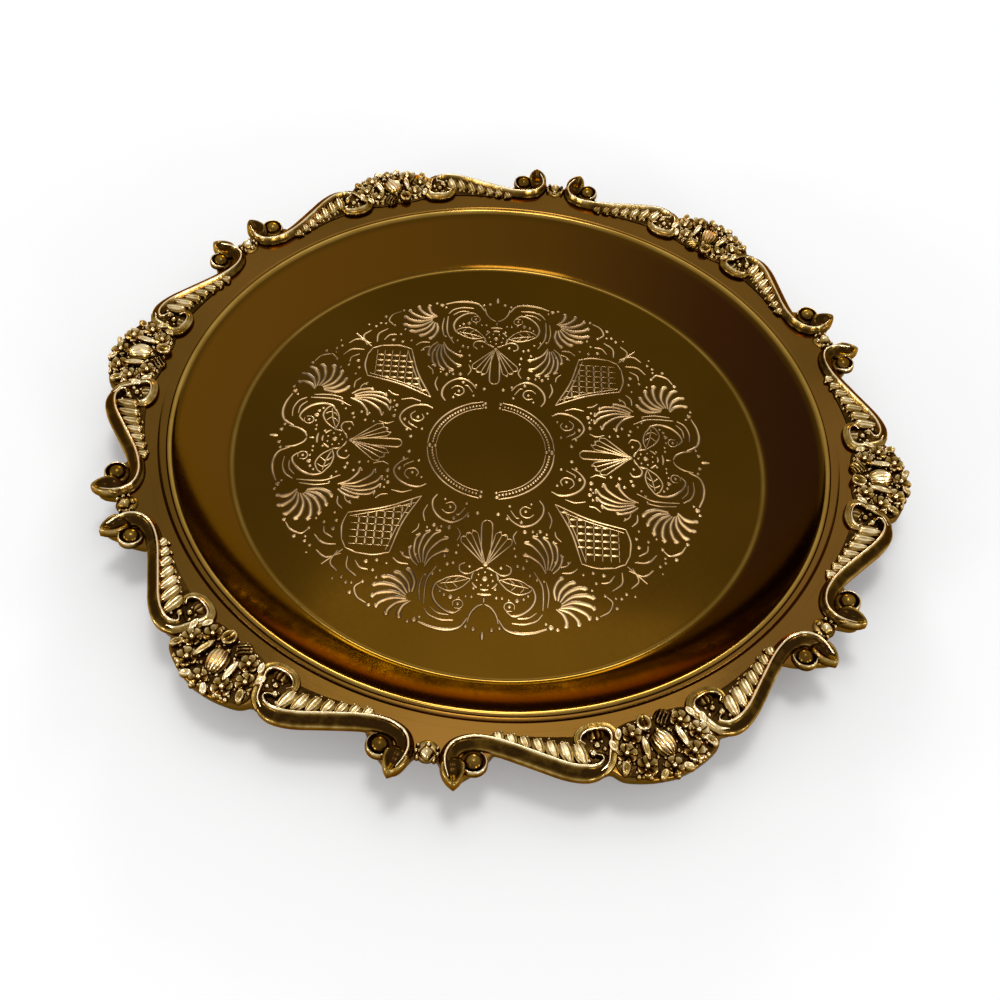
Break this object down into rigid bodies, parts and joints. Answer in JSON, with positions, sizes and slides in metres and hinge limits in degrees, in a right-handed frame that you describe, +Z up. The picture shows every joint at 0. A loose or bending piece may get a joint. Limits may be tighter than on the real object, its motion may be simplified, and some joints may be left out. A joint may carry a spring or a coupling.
{
  "type": "candle plate",
  "caption": "Round gilt candle plate: a shallow spun dish with a chased flat well, a sloping wall and a lobed border of applied scrolls, leaf garlands and flower clusters.",
  "frame": {"origin": "centre of the flat underside of the dish, on the surface it stands on", "axes": "+Z up through the plate's centre; +X through the axis of the first lobe of the border"},
  "size_m": [0.2384, 0.2334, 0.0179],
  "materials": {
    "dish_gold": "mirror-polished dark gold plate, chased in the well",
    "border_gold": "polished dark gold plate on a casting",
    "ornament_gold": "bright gold plate on chased castings, darker in the hollows"
  },
  "bodies": {
    "root": {"dish": "dish_gold", "border_section_1": "border_gold", "border_section_2": "border_gold", "border_section_3": "border_gold", "border_section_4": "border_gold", "border_section_5": "border_gold", "border_section_6": "border_gold", "scroll_left_1": "ornament_gold", "scroll_left_2": "ornament_gold", "scroll_left_3": "ornament_gold", "scroll_left_4": "ornament_gold", "scroll_left_5": "ornament_gold", "scroll_left_6": "ornament_gold", "scroll_right_1": "ornament_gold", "scroll_right_2": "ornament_gold", "scroll_right_3": "ornament_gold", "scroll_right_4": "ornament_gold", "scroll_right_5": "ornament_gold", "scroll_right_6": "ornament_gold", "garland_left_1": "ornament_gold", "garland_left_2": "ornament_gold", "garland_left_3": "ornament_gold", "garland_left_4": "ornament_gold", "garland_left_5": "ornament_gold", "garland_left_6": "ornament_gold", "garland_right_1": "ornament_gold", "garland_right_2": "ornament_gold", "garland_right_3": "ornament_gold", "garland_right_4": "ornament_gold", "garland_right_5": "ornament_gold", "garland_right_6": "ornament_gold", "flower_cluster_1": "ornament_gold", "flower_cluster_2": "ornament_gold", "flower_cluster_3": "ornament_gold", "flower_cluster_4": "ornament_gold", "flower_cluster_5": "ornament_gold", "flower_cluster_6": "ornament_gold", "junction_rosette_1": "ornament_gold", "junction_rosette_2": "ornament_gold", "junction_rosette_3": "ornament_gold", "junction_rosette_4": "ornament_gold", "junction_rosette_5": "ornament_gold", "junction_rosette_6": "ornament_gold"}
  },
  "joints": []
}
